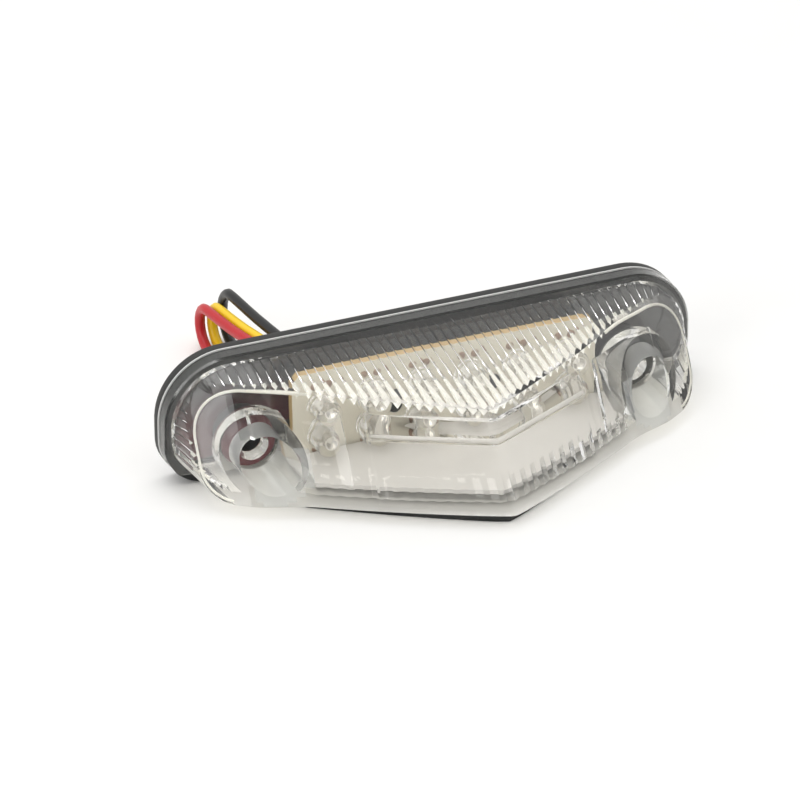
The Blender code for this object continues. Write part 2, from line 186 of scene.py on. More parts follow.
def join(pieces, name):
    """One piece made of several, under a new name."""
    deselect()
    for piece in pieces:
        piece.select_set(True)
    bpy.context.view_layer.objects.active = pieces[0]
    bpy.ops.object.join()
    pieces[0].name = name
    return pieces[0]


def rod(name, places, radius, resolution):
    """A round rod through places that are given in metres."""
    curve = bpy.data.curves.new(name, "CURVE")
    curve.dimensions = "3D"
    spline = curve.splines.new("POLY")
    spline.points.add(len(places) - 1)
    for point, place in zip(spline.points, places):
        point.co = (*place, 1.0)
    curve.bevel_depth = radius * MM
    curve.bevel_resolution = resolution
    curve.use_fill_caps = True
    spline.use_smooth = True
    obj = bpy.data.objects.new(name, curve)
    bpy.context.scene.collection.objects.link(obj)
    return obj


# ---------------------------------------------------------------- outlines and faces

def v_edge(x):
    """Front edge of the lens's bottom: two bowed arms that meet at a slightly rounded apex."""
    return DEPTH - 0.47 * math.hypot(x, 0.7) - 0.0026 * x * x


def edge_drop(x):
    """How far the front's top edge lies under the top of the light: most at the apex."""
    return FACE_INSET + 2.0 * max(0.0, 1.0 - abs(x) / END_X)


def blend(value, low, high):
    """0 below low, 1 above high, straight in between."""
    return min(1.0, max(0.0, (value - low) / (high - low)))


def face_out(x, z):
    """The V front before its raised plates: two leaning arms and the flared nose between them."""
    drop = HEIGHT - z
    low_drop = HEIGHT - LENS_LOW
    ax = abs(x)
    bottom = v_edge(x)
    bow = math.hypot(x, 0.8)
    if ax >= NOSE_X:
        rise = blend(ax, 30.0, 40.0)
        return bottom - 0.57 * (low_drop - drop) + 2.1 * rise * rise * (3.0 - 2.0 * rise)
    share = min(1.0, bow / NOSE_X)
    crease = 10.8 - 1.0 * share
    end = v_edge(NOSE_X)
    ridge = 32.5 + (end - 0.57 * (low_drop - 9.8) - 32.5) * share
    top = 32.0 + (end - 0.57 * (low_drop - edge_drop(NOSE_X)) - 32.0) * share
    if drop < crease:
        return top + (ridge - top) * (drop - edge_drop(x)) / (crease - edge_drop(x))
    return ridge + (bottom - ridge) * (drop - crease) / (low_drop - crease)


def plate_rise(x, z):
    """How far the smooth plates stand out of the front: one on each arm, one on the nose."""
    drop = HEIGHT - z
    ax = abs(x)
    down = blend(drop, 6.5, 6.75) * (1.0 - blend(drop, 17.2, 17.5))
    arm = blend(ax, PLATE_X, 23.85) * (1.0 - blend(ax, END_X, 38.25)) * down
    top = 7.1 - 0.3 * ax / NOSE_X
    nose = (1.0 - blend(ax, 20.15, NOSE_X)) * blend(drop, top - 0.25, top) * (1.0 - blend(drop, 18.4, 20.4))
    crease = 10.8 - 1.0 * min(1.0, ax / NOSE_X)
    bead = 0.5 * max(0.0, 1.0 - ((drop - crease) / 0.55) ** 2) * (1.0 - blend(ax, 19.9, 20.2))
    inside = 1.0 if PLATE_X < ax < 38.2 and 6.4 < drop < 17.5 else 0.0
    away = min(abs(drop - 6.85), abs(ax - 37.8), abs(ax - 24.0))
    line = max(0.0, 1.0 - away / 0.25)
    return 0.75 * arm + 0.7 * nose + bead + 0.25 * inside * line


def outer_face(x, z):
    """The whole front with its plates and bead."""
    return face_out(x, z) + plate_rise(x, z)


def inner_face(x, z):
    """Inside of the front, with upright flutes low down."""
    drop = HEIGHT - z
    base = face_out(x, z) - FACE_WALL
    if abs(x) < 29.0:
        phase = (x / 2.3) % 1.0
        ridge = 1.0 - abs(2.0 * phase - 1.0)
        base += 0.8 * ridge * blend(drop, 15.6, 16.6)
    return base


def spread(marks, fine, coarse):
    """Grid lines across a span, close together beside each mark and coarse elsewhere."""
    low, high = min(marks), max(marks)
    values = set(marks)
    for mark in marks:
        values.update((mark - fine, mark + fine))
    steps = round((high - low) / coarse)
    values.update(low + (high - low) * k / steps for k in range(steps + 1))
    kept = []
    for value in sorted(values):
        if low - 1e-6 <= value <= high + 1e-6 and (not kept or value - kept[-1] > 0.04):
            kept.append(value)
    return kept


def slab(name, surface, xs, zs, back):
    """A body whose front follows a surface, in rows that rise with the crease, and whose back is flat."""
    rows = []
    for z in zs:
        tent = min(blend(z, 5.0, 12.2), 1.0 - blend(z, 14.0, 24.0))
        row = [(x, z + tent * min(1.0, abs(x) / NOSE_X)) for x in xs]
        rows.append([(x, surface(x, z), z) for x, z in row])
    obj = grid(name, rows)
    pick(obj)
    bpy.ops.object.mode_set(mode="EDIT")
    bpy.ops.mesh.select_all(action="SELECT")
    bpy.ops.mesh.extrude_region_move()
    bpy.ops.object.mode_set(mode="OBJECT")
    flat_y = (DEPTH / 2.0 - back) * MM
    for vert in obj.data.vertices:
        if vert.select:
            vert.co.y = flat_y
    return tidy_mesh(obj, close=False)


def outline_point(part, t, inset, low, top):
    """A point of one part of the outline, seen from the front, with its outward direction."""
    top_r, low_r = TOP_R - inset, max(2.0, LOW_R - inset)
    half = HALF - inset
    corner = top(END_X) - top_r
    foot = low + low_r
    if part == "foot":
        a = math.radians(-90.0 + 90.0 * t)
        return half - low_r + low_r * math.cos(a), foot + low_r * math.sin(a), math.cos(a), math.sin(a)
    if part == "side":
        return half, foot + (corner - foot) * t, 1.0, 0.0
    if part == "corner":
        a = math.radians(90.0 * t)
        return END_X + top_r * math.cos(a), corner + top_r * math.sin(a), math.cos(a), math.sin(a)
    x = END_X * (1.0 - 2.0 * t)
    return x, top(x), 0.0, 1.0


def ruling(part, t, wall, side):
    """Rim end and front end of one straight line of the wall, with the direction into the chamber."""
    def rim_top(x):
        return HEIGHT - RIM_INSET - wall

    def front_top(x):
        return HEIGHT - edge_drop(x) - wall

    ends = []
    for inset, top in ((RIM_INSET + wall, rim_top), (FACE_INSET + wall, front_top)):
        x, z, nx, nz = outline_point(part, t, inset, LENS_LOW + wall, top)
        ends.append((side * x, z, side * nx, nz))
    (x0, z0, nx, nz), (x1, z1, _, _) = ends
    return (x0, RIM_OUT, z0), (x1, face_out(x1, z1), z1), (-nx, -nz)


def along(rule, share, inward=0.0):
    """A place on a line of the wall, from its rim end at 0 to its front end at 1."""
    (x0, y0, z0), (x1, y1, z1), (nx, nz) = rule
    return (x0 + (x1 - x0) * share + nx * inward, y0 + (y1 - y0) * share,
            z0 + (z1 - z0) * share + nz * inward)


def far_end(rule):
    """The line's front end carried straight out past the apex."""
    (x1, _, z1) = rule[1]
    return (x1, FAR_OUT, z1)


# ---------------------------------------------------------------- lens

WALL_LENGTHS = {"foot": 10.0, "side": 2.6, "corner": 16.6, "top": 76.0}
WALL_ORDER = (("foot", 1), ("side", 1), ("corner", 1), ("top", 1), ("corner", -1), ("side", -1), ("foot", -1))


def wall_stops(spacing):
    """Places round the wall from the right foot over the top to the left foot, about spacing apart."""
    stops = []
    for part, side in WALL_ORDER:
        count = max(1, round(WALL_LENGTHS[part] / spacing))
        for k in range(count):
            t = (k + 0.5) / count
            if side < 0:
                t = 1.0 - t
            stops.append((part, t, side, 0.5 / count))
    return stops


def lens_outer():
    """The lens before it is hollowed: skirt, leaning wall and V front."""
    rules = [ruling(part, t, 0.0, side) for part, t, side, _ in wall_stops(WALL_STEP)]
    left, right = ruling("foot", 0.0, 0.0, -1), ruling("foot", 0.0, 0.0, 1)
    for k in range(FLOOR_STEPS + 1):
        share = k / FLOOR_STEPS
        rim, end = (tuple(p + (q - p) * share for p, q in zip(left[i], right[i])) for i in range(2))
        rules.append((rim, (end[0], face_out(end[0], end[2]), end[2]), (0.0, 1.0)))

    def skirt(out, inset):
        ring = [(x, out, z) for x, z in shell_outline(inset, 0.0, WALL_STEP)]
        for k in range(FLOOR_STEPS + 1):
            ring.append((-FOOT_X + 2.0 * FOOT_X * k / FLOOR_STEPS, out, 0.0))
        return ring

    rings = [skirt(2.14, 0.12), skirt(2.24, 0.05), skirt(4.9, 0.05), skirt(5.3, 0.35)]
    rings += [[along(rule, 0.05) for rule in rules], [along(rule, 1.0) for rule in rules],
              [far_end(rule) for rule in rules]]
    body = prism("lens_body", rings)
    half_marks = [0.4, 0.9, 20.15, NOSE_X, PLATE_X, 23.85, END_X, 38.25, 52.0]
    xs = spread([-x for x in half_marks] + [0.0] + half_marks, 0.12, 1.6)
    zs = spread([-3.0, LENS_LOW, 3.2, 5.2, 6.1, 6.4, 12.25, 12.5, 12.8, 13.1, 13.35, 16.5, 16.75, 16.85, 17.1,
                 26.0], 0.1, 1.4)
    face = slab("lens_face", outer_face, xs, zs, -2.0)
    return boolean(body, face, "INTERSECT")


def lens_chamber(nudge):
    """The hollow behind the front, with a moulded rib on every pitch of its wall."""
    def rib_half(share):
        return 0.24 + 0.55 * blend(share, 0.55, 0.95)

    def rib_height(share):
        return 0.03 + 0.15 * blend(share, 0.0, 0.2) + 0.85 * blend(share, 0.5, 0.95)

    shares = (0.0, 0.2, 0.5, 0.6, 0.72, 0.84, 1.0)
    rings = [[] for _ in shares] + [[]]
    for part, t, side, half_step in wall_stops(RIB_PITCH):
        step = 2.0 * half_step
        turn = 1.0 if side > 0 else -1.0
        pitch = WALL_LENGTHS[part] * step
        for offset, height in ((-1.0, 0.0), (0.0, 1.0), (1.0, 0.0)):
            for ring, share in zip(rings, shares):
                shift = offset * rib_half(share) / pitch * step * turn
                rule = ruling(part, min(1.0, max(0.0, t + shift)), WALL, side)
                ring.append(along(rule, share, height * rib_height(share)))
            end_shift = offset * rib_half(1.0) / pitch * step * turn
            rule = ruling(part, min(1.0, max(0.0, t + end_shift)), WALL, side)
            x, _, z = along(rule, 1.0, height * rib_height(1.0))
            rings[-1].append((x, FAR_OUT, z))
    left, right = ruling("foot", 0.0, WALL, -1), ruling("foot", 0.0, WALL, 1)
    for k in range(FLOOR_STEPS + 1):
        share = k / FLOOR_STEPS
        for ring, s in zip(rings, shares + (2.0,)):
            a, b = along(left, min(s, 1.0)), along(right, min(s, 1.0))
            x, z = a[0] + (b[0] - a[0]) * share, a[2] + (b[2] - a[2]) * share
            out = FAR_OUT if s > 1.0 else RIM_OUT + (face_out(x, z) - RIM_OUT) * s
            ring.append((x, out, z))
    hollow = prism("chamber", rings)
    flute_lines = [-29.0 + 1.15 * k for k in range(51)]
    lobes = [side * (30.2 + 1.45 * k) for side in (-1, 1) for k in range(12)]
    xs = sorted({round(v, 4) for v in [-52.0, 52.0, 0.0, -NOSE_X, NOSE_X] + lobes + flute_lines})
    xs = [v + nudge for n, v in enumerate(xs) if n == 0 or v - xs[n - 1] > 0.05]
    zs = [-3.0, 0.0, LENS_LOW, 3.6, 4.8, 6.0, 6.8, 7.2, 8.4, 10.0, 11.6, 12.8, 13.8, 15.2, 16.8, 18.3, 20.0,
          22.0, 26.0]
    face = slab("chamber_face", inner_face, xs, zs, 2.0)
    boolean(hollow, face, "INTERSECT")
    for side in (-1, 1):
        wall = [(6.7, 9.0), (6.9, FAR_OUT)]
        boolean(hollow, turned("tube", side * BORE_X, BORE_Z, wall, 48), "DIFFERENCE")
    return hollow


def shell_outline(inset, low, spacing):
    """Points round the outline, moved in all round."""
    ring = []
    for part, t, side, _ in wall_stops(spacing):
        x, z, _, _ = outline_point(part, t, inset, low, lambda x: HEIGHT - inset)
        ring.append((side * x, z))
    return ring


def on_tooth(x, out, z, nx, nz):
    """True on the flanks of the wall's ribs where they widen towards the front, where the lens gets a painted
    highlight.
    """
    share = (out - RIM_OUT) / (face_out(x, z) - RIM_OUT)
    if not 0.6 < share < 0.99:
        return False
    drop = RIM_INSET + (edge_drop(x) - RIM_INSET) * share + WALL
    radius = TOP_R - RIM_INSET - (FACE_INSET - RIM_INSET) * share - WALL
    centre = HEIGHT - drop - radius
    across, up = max(0.0, abs(x) - END_X), max(0.0, z - centre)
    reach = math.hypot(across, up)
    if abs(x) < END_X:
        near, across, up, reach = HEIGHT - drop - z, 0.0, 1.0, 1.0
    else:
        near = radius - reach
    return near < 1.3 and abs(nx * up - math.copysign(nz, nz * x) * across) / max(reach, 0.1) > 0.22


def build_lens(mat):
    """The lens, cut again with its hollow moved by a hair whenever the cut comes out incomplete."""
    for attempt in range(CUT_TRIES):
        lens = lens_outer()
        boolean(lens, lens_chamber(CUT_NUDGE * attempt), "DIFFERENCE")
        if len(lens.data.vertices) > WHOLE_LENS:
            break
        bpy.data.objects.remove(lens, do_unlink=True)
    else:
        raise RuntimeError("the lens could not be hollowed")
    ring = shell_outline(0.37, -1.0, 1.2)
    boolean(lens, prism("shell_space", [[(x, out, z) for x, z in ring] for out in (1.0, 5.28)]), "DIFFERENCE")
    boolean(lens, block("roof_space", (-47.2, 47.2), (1.0, 61.0), (-2.0, LENS_LOW)), "DIFFERENCE")
    for side in (-1, 1):
        x = side * BORE_X
        recess = [(3.0, BORE_FLOOR), (4.1, BORE_FLOOR), (4.4, BORE_FLOOR + 0.3), (4.9, 24.0), (5.9, 45.0)]
        boolean(lens, turned("recess", x, BORE_Z, recess, 48), "DIFFERENCE")
        hole = [(HOLE_R, 7.0), (HOLE_R, 9.9), (2.8, BORE_FLOOR), (2.8, BORE_FLOOR + 1.0)]
        boolean(lens, turned("hole", x, BORE_Z, hole, 32), "DIFFERENCE")
    smooth(lens, 22.0)
    lens.name = "clear_lens"
    finish_piece(lens, mat, "lens", "lens")
    for extra in (lens_bottom_light_mat, recess_light_mat, painted_highlight_mat, skirt_mat):
        lens.data.materials.append(extra)
    for face in lens.data.polygons:
        x, y, z = face.center / MM
        nx, ny, nz = face.normal
        out = DEPTH / 2.0 - y
        reach = math.hypot(abs(x) - BORE_X, z - BORE_Z)
        inward = (abs(x) - BORE_X) * math.copysign(nx, nx * x) + (z - BORE_Z) * nz < 0.0
        # painted light on the downward faces of the lens bottom
        if nz < -0.9 and abs(z - LENS_LOW) < 0.1:
            face.material_index = 1
        # painted light on the walls of the screw recesses
        elif out > BORE_FLOOR + 0.2 and 3.2 < reach < 6.4 and inward:
            face.material_index = 2
        # painted highlight on the flanks of the rib teeth
        elif out > 8.0 and z > LENS_LOW + 2.0 and abs(ny) < 0.45 and on_tooth(x, out, z, nx, nz):
            face.material_index = 3
        elif out < RIM_OUT - 0.1:
            face.material_index = 4


# ---------------------------------------------------------------- materials

def material(name, colour, roughness, metallic=0.0, transmission=0.0, ior=1.45):
    mat = bpy.data.materials.new(name)
    mat.use_nodes = True
    shader = mat.node_tree.nodes["Principled BSDF"]
    shader.inputs["Base Color"].default_value = (*colour, 1.0)
    shader.inputs["Roughness"].default_value = roughness
    shader.inputs["Metallic"].default_value = metallic
    shader.inputs["IOR"].default_value = ior
    shader.inputs["Transmission Weight"].default_value = transmission
    mat.diffuse_color = (*colour, 1.0)
    return mat


def let_lamps_in(mat):
    """Let the lamps' light straight through a clear material, so that what is behind it is lit."""
    tree = mat.node_tree
    mix = tree.nodes.new("ShaderNodeMixShader")
    path = tree.nodes.new("ShaderNodeLightPath")
    clear = tree.nodes.new("ShaderNodeBsdfTransparent")
    clear.inputs["Color"].default_value = (0.97, 0.965, 0.95, 1.0)
    tree.links.new(path.outputs["Is Shadow Ray"], mix.inputs["Fac"])
    tree.links.new(tree.nodes["Principled BSDF"].outputs["BSDF"], mix.inputs[1])
    tree.links.new(clear.outputs["BSDF"], mix.inputs[2])
    tree.links.new(mix.outputs["Shader"], tree.nodes["Material Output"].inputs["Surface"])
    return mat


def add_node(mat, kind, **settings):
    node = mat.node_tree.nodes.new(kind)
    for key, value in settings.items():
        setattr(node, key, value)
    return node


def fine_grain(name):
    """Group: a slightly uneven moulded surface. It gives a tone for the colour, a roughness and a normal."""
    group = bpy.data.node_groups.new(name, "ShaderNodeTree")
    for label, kind, value in (("Scale", "NodeSocketFloat", 900.0), ("Depth", "NodeSocketFloat", 0.15),
                               ("Rough Low", "NodeSocketFloat", 0.3), ("Rough High", "NodeSocketFloat", 0.5),
                               ("Dark", "NodeSocketColor", (0.02, 0.02, 0.02, 1.0)),
                               ("Light", "NodeSocketColor", (0.05, 0.05, 0.05, 1.0))):
        socket = group.interface.new_socket(name=label, in_out="INPUT", socket_type=kind)
        socket.default_value = value
    for label, kind in (("Color", "NodeSocketColor"), ("Roughness", "NodeSocketFloat"),
                        ("Normal", "NodeSocketVector")):
        group.interface.new_socket(name=label, in_out="OUTPUT", socket_type=kind)
    nodes_in, links = group.nodes, group.links
    start, end = nodes_in.new("NodeGroupInput"), nodes_in.new("NodeGroupOutput")
    place = nodes_in.new("ShaderNodeTexCoord")
    grain = nodes_in.new("ShaderNodeTexNoise")
    grain.inputs["Detail"].default_value = 3.0
    wide = nodes_in.new("ShaderNodeTexNoise")
    wide.inputs["Scale"].default_value = 90.0
    wide.inputs["Detail"].default_value = 4.0
    links.new(place.outputs["Object"], grain.inputs["Vector"])
    links.new(place.outputs["Object"], wide.inputs["Vector"])
    links.new(start.outputs["Scale"], grain.inputs["Scale"])
    tone = nodes_in.new("ShaderNodeMix")
    tone.data_type = "RGBA"
    links.new(wide.outputs["Fac"], tone.inputs["Factor"])
    links.new(start.outputs["Dark"], tone.inputs["A"])
    links.new(start.outputs["Light"], tone.inputs["B"])
    rough = nodes_in.new("ShaderNodeMapRange")
    links.new(wide.outputs["Fac"], rough.inputs["Value"])
    links.new(start.outputs["Rough Low"], rough.inputs["To Min"])
    links.new(start.outputs["Rough High"], rough.inputs["To Max"])
    bump = nodes_in.new("ShaderNodeBump")
    bump.inputs["Distance"].default_value = 0.0001
    links.new(start.outputs["Depth"], bump.inputs["Strength"])
    links.new(grain.outputs["Fac"], bump.inputs["Height"])
    links.new(tone.outputs["Result"], end.inputs["Color"])
    links.new(rough.outputs["Result"], end.inputs["Roughness"])
    links.new(bump.outputs["Normal"], end.inputs["Normal"])
    return group


def grained(name, dark, light, rough, scale, depth):
    """A moulded material between two tones and two roughnesses, given as pairs."""
    mat = material(name, light, rough[1])
    group = add_node(mat, "ShaderNodeGroup", node_tree=grain_group)
    for label, value in (("Scale", scale), ("Depth", depth), ("Dark", (*dark, 1.0)), ("Light", (*light, 1.0)),
                         ("Rough Low", rough[0]), ("Rough High", rough[1])):
        group.inputs[label].default_value = value
    shader = mat.node_tree.nodes["Principled BSDF"]
    links = mat.node_tree.links
    links.new(group.outputs["Color"], shader.inputs["Base Color"])
    links.new(group.outputs["Roughness"], shader.inputs["Roughness"])
    links.new(group.outputs["Normal"], shader.inputs["Normal"])
    return mat


def edge_fade(mat, axis, low, high, first, second):
    """Mix two colours along one axis of the object, in metres, and return the mixed colour socket."""
    place = add_node(mat, "ShaderNodeTexCoord")
    split = add_node(mat, "ShaderNodeSeparateXYZ")
    ramp = add_node(mat, "ShaderNodeMapRange")
    ramp.inputs["From Min"].default_value = low
    ramp.inputs["From Max"].default_value = high
    mix = add_node(mat, "ShaderNodeMix", data_type="RGBA")
    links = mat.node_tree.links
    links.new(place.outputs["Object"], split.inputs["Vector"])
    links.new(split.outputs[axis], ramp.inputs["Value"])
    links.new(ramp.outputs["Result"], mix.inputs["Factor"])
    for name, value in (("A", first), ("B", second)):
        if isinstance(value, tuple):
            mix.inputs[name].default_value = (*value, 1.0)
        else:
            links.new(value, mix.inputs[name])
    return mix.outputs["Result"]


grain_group = fine_grain("moulded_grain")
clear_mat = let_lamps_in(material("clear_polycarbonate", (0.985, 0.98, 0.965), 0.02, transmission=0.992,
                                  ior=1.46))
# painted light: the lens bottom gets a whitish, half-clear colour that stands in for the bright floor seen
# through it
lens_bottom_light_mat = let_lamps_in(material("lens_bottom_painted_light", (0.74, 0.73, 0.69), 0.35, transmission=0.35, ior=1.46))
# painted light: the screw recess walls get a pale grey, partly clouded colour that stands in for the bright
# surroundings they refract
recess_light_mat = let_lamps_in(material("recess_wall_painted_light", (0.80, 0.81, 0.79), 0.14, transmission=0.75, ior=1.46))
# painted highlight: a creamy, half-clear colour for the rib teeth and the front edge, standing in for
# refracted bright surroundings
painted_highlight_mat = let_lamps_in(material("rib_tooth_painted_highlight", (0.90, 0.885, 0.82), 0.3, transmission=0.45, ior=1.46))
skirt_mat = let_lamps_in(material("clear_skirt", (0.84, 0.84, 0.82), 0.05, transmission=0.992, ior=1.24))
for clear in (clear_mat, recess_light_mat):
    clear.node_tree.nodes["Principled BSDF"].inputs["Specular IOR Level"].default_value = 0.2
# painted highlight: a pale, partly clouded colour for the ring at the skirt's back edge
skirt_edge_highlight_mat = material("skirt_edge_painted_highlight", (0.86, 0.86, 0.84), 0.25, transmission=0.2)
shell_mat = grained("black_abs", (0.022, 0.023, 0.023), (0.04, 0.042, 0.041), (0.32, 0.46), 1500.0, 0.12)
# painted shade: a darker copy of the black shell plastic for the outward faces of the left lobe
shell_lobe_shade_mat = grained("black_abs_painted_shade_and_red_reflection", (0.006, 0.0055, 0.0055), (0.012, 0.011, 0.011), (0.5, 0.6), 1500.0,
                         0.12)
for dull, level in ((shell_lobe_shade_mat, 0.1), (shell_mat, 0.15)):
    dull.node_tree.nodes["Principled BSDF"].inputs["Specular IOR Level"].default_value = level
rubber_mat = grained("black_rubber", (0.018, 0.018, 0.017), (0.032, 0.032, 0.030), (0.5, 0.68), 2200.0, 0.3)
led_mat = let_lamps_in(material("led_epoxy", (0.99, 0.985, 0.96), 0.04, transmission=0.93, ior=1.42))
frame_mat = material("led_frame", (0.82, 0.80, 0.76), 0.22, metallic=1.0)
white_mat = grained("reflector_white", (0.53, 0.515, 0.49), (0.62, 0.605, 0.58), (0.3, 0.42), 1200.0, 0.06)
resistor_mat = grained("resistor_glaze", (0.02, 0.02, 0.02), (0.05, 0.05, 0.05), (0.25, 0.4), 1500.0, 0.1)
red_mat = grained("sleeve_red", (0.42, 0.012, 0.018), (0.52, 0.02, 0.026), (0.3, 0.42), 1400.0, 0.12)
yellow_mat = grained("sleeve_yellow", (0.80, 0.52, 0.008), (0.90, 0.62, 0.015), (0.3, 0.42), 1400.0, 0.12)
black_mat = grained("sleeve_black", (0.007, 0.007, 0.007), (0.016, 0.016, 0.016), (0.28, 0.4), 1400.0, 0.12)
copper_mat = material("tinned_copper", (0.72, 0.45, 0.28), 0.3, metallic=1.0)
tie_mat = grained("nylon_tie", (0.02, 0.02, 0.02), (0.04, 0.04, 0.04), (0.3, 0.45), 1500.0, 0.1)
pad_mat = material("solder_pad", (0.30, 0.20, 0.14), 0.45)

# painted reflection: that darker copy turns maroon towards the bottom, a reddish reflection from the red lead
shell_shade_and_red_reflection_colour = edge_fade(shell_lobe_shade_mat, "Z", 0.009, 0.017, (0.11, 0.012, 0.020),
                         shell_lobe_shade_mat.node_tree.nodes["Group"].outputs["Color"])
shell_lobe_shade_mat.node_tree.links.new(shell_shade_and_red_reflection_colour,
                                   shell_lobe_shade_mat.node_tree.nodes["Principled BSDF"].inputs["Base Color"])

board_mat = grained("board", (0.70, 0.66, 0.555), (0.78, 0.745, 0.64), (0.35, 0.5), 1000.0, 0.05)
board_front = (DEPTH / 2.0 - BOARD_FACE) * MM
board_colour = edge_fade(board_mat, "Y", board_front, board_front + 0.00005,
                         board_mat.node_tree.nodes["Group"].outputs["Color"], (0.44, 0.31, 0.14))
board_mat.node_tree.links.new(board_colour, board_mat.node_tree.nodes["Principled BSDF"].inputs["Base Color"])

floor_mat = grained("pale_floor", (0.83, 0.825, 0.81), (0.86, 0.855, 0.84), (0.6, 0.7), 400.0, 0.02)

paint = {"circuit_board": board_mat, "reflector_plate": white_mat, "lead_seal": rubber_mat}
for name, node in nodes.items():
    node.data.materials.clear()
    node.data.materials.append(paint.get(name, resistor_mat))


# ---------------------------------------------------------------- leads

# each lead's place at the back, its place at the fold, the height where the fold starts, and its sleeve
LEADS = {"red": (-22.2, -25.2, 9.0, red_mat), "yellow": (-20.0, -22.9, 8.7, yellow_mat),
         "black": (-17.8, -20.4, 10.9, black_mat)}
LEAD_LENGTH = 180.0
FLOOR_Z = LEAD_R + 0.05  # a lead's centre when it lies on the floor
COIL_X, COIL_OUT = -12.1, -17.0
FOLD_OUT = -33.0  # the fold lies behind this
TIE_OVER = 0.5  # how far the turns lift over the tie
TURN_RISE = 1.95  # from one turn to the next above it


def smooth_path(points, spacing):
    """Points of a smooth curve through the route's own, three times as close together round the fold."""
    pts = [Vector(p) for p in points]
    pts = [pts[0] * 2.0 - pts[1]] + pts + [pts[-1] * 2.0 - pts[-2]]
    fine = []
    for a, b, c, d in zip(pts, pts[1:], pts[2:], pts[3:]):
        for k in range(24):
            t = k / 24.0
            fine.append(0.5 * ((2.0 * b) + (c - a) * t + (2.0 * a - 5.0 * b + 4.0 * c - d) * t * t
                               + (3.0 * b - a - 3.0 * c + d) * t * t * t))
    fine.append(pts[-2])
    weighed = [0.0]
    for p, q in zip(fine, fine[1:]):
        weighed.append(weighed[-1] + (q - p).length * (3.0 if q.y < FOLD_OUT else 1.0))
    count = max(2, round(weighed[-1] / spacing))
    result, n = [fine[0]], 0
    for k in range(1, count):
        target = weighed[-1] * k / count
        while weighed[n + 1] < target:
            n += 1
        result.append(fine[n].lerp(fine[n + 1], (target - weighed[n]) / (weighed[n + 1] - weighed[n])))
    return result + [fine[-1]]


def lead_points(x, turn_x, top):
    """A lead's way from the board out of the back, down, round the fold and into the coil."""
    radius = (top - FLOOR_Z) / 2.0
    route = [(x, 8.1, LEAD_Z), (x, 3.0, LEAD_Z), (x, -3.0, LEAD_Z)]
    for out, share in ((-10.0, 0.1), (-19.0, 0.36), (-28.0, 0.72)):
        route.append((x + (turn_x - x) * share, out, LEAD_Z + (top - LEAD_Z) * share))
    for k in range(7):
        angle = math.pi * k / 6.0
        route.append((turn_x, -37.5 - radius * math.sin(angle), FLOOR_Z + radius + radius * math.cos(angle)))
    route += [(turn_x, -31.0, FLOOR_Z), (turn_x, -24.0, FLOOR_Z)]
    path = smooth_path(route, 3.6)
    walked = sum((q - p).length for p, q in zip(path, path[1:])) + 7.0
    lane = COIL_X - turn_x
    turns = (LEAD_LENGTH - walked) / (2.0 * math.pi * lane)
    count = math.ceil(turns * 36)
    for k in range(count + 1):
        angle = 2.0 * math.pi * turns * k / count
        whole, part = divmod(angle, 2.0 * math.pi)
        climb = blend(part, 0.0, 1.6 * math.pi)
        over_tie = TIE_OVER * math.exp(-((part - math.pi) / 0.3) ** 2)
        height = FLOOR_Z + TURN_RISE * (whole + climb * climb * (3.0 - 2.0 * climb)) + over_tie
        path.append(Vector((COIL_X - lane * math.cos(angle), COIL_OUT + lane * math.sin(angle), height)))
    return path


def build_lead(colour):
    """One lead and the bare end that sticks out of its sleeve."""
    x, turn_x, top, mat = LEADS[colour]
    path = [spot(*place) for place in lead_points(x, turn_x, top)]
    wire = rod("wire_" + colour, path, LEAD_R, 5)
    wire.data.materials.append(mat)
    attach(wire, "root")
    ahead = (path[-1] - path[-2]).normalized()
    deselect()
    bpy.ops.mesh.primitive_cylinder_add(vertices=16, radius=0.5 * MM, depth=4.0 * MM,
                                        location=path[-1] + ahead * 1.7 * MM,
                                        rotation=ahead.to_track_quat("Z", "Y").to_euler())
    tip = settle(bpy.context.object)
    tip.name = "bare_end_" + colour
    modify(tip, "BEVEL", width=0.12 * MM, segments=2)
    smooth(tip)
    finish_piece(tip, copper_mat, "lead_coil")
    return wire, tip


def build_tie():
    """Strap round the coil, on the side away from the fold."""
    x, out = COIL_X + 10.8, COIL_OUT
    loop = []
    for cx, cz, start in ((2.7, 4.6, 0.0), (-2.7, 4.6, 90.0), (-2.7, 1.5, 180.0), (2.7, 1.5, 270.0)):
        for k in range(5):
            angle = math.radians(start + 22.5 * k)
            loop.append((cx, cz, math.cos(angle), math.sin(angle)))
    rings = []
    for side, reach in ((-0.9, 1.1), (-0.9, 1.45), (0.9, 1.45), (0.9, 1.1)):
        rings.append([(x + cx + reach * c, out + side, cz + reach * s - 0.02) for cx, cz, c, s in loop])
    tie = grid("coil_tie", [ring + [ring[0]] for ring in rings + [rings[0]]])
    tidy_mesh(tie, close=False)
    boolean(tie, block("tie_head", (x + 3.0, x + 5.0), (out - 1.6, out + 1.6), (4.2, 6.6)), "UNION")
    smooth(tie)
    return finish_piece(tie, tie_mat, "rubber")


def build_leads():
    tie = build_tie()
    for colour in LEADS:
        wire, tip = build_lead(colour)
        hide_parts(*(["lead_black", "lead_coil"] if colour == "black" else ["lead_" + colour]))


# ---------------------------------------------------------------- shell, gasket and board parts

def build_gasket():
    """Rubber pad on the mounting face, with its screw holes and the window for the leads."""
    rings = []
    for out, inset in ((0.0, 0.3), (0.08, 0.1), (0.3, 0.0), (1.75, 0.0), (1.95, 0.08), (2.0, 0.25)):
        rings.append([(x, out, z) for x, z in shell_outline(inset, 0.0, SHELL_STEP)])
    gasket = prism("gasket", rings)
    for side in (-1, 1):
        boolean(gasket, turned("hole", side * BORE_X, BORE_Z, [(2.65, -1.0), (2.65, 3.0)], 32), "DIFFERENCE")
    boolean(gasket, block("window", (-25.1, -14.9), (-1.0, 3.0), (8.9, 14.1)), "DIFFERENCE")
    smooth(gasket, 40.0)
    return finish_piece(gasket, rubber_mat, "rubber", "mounting_gasket")


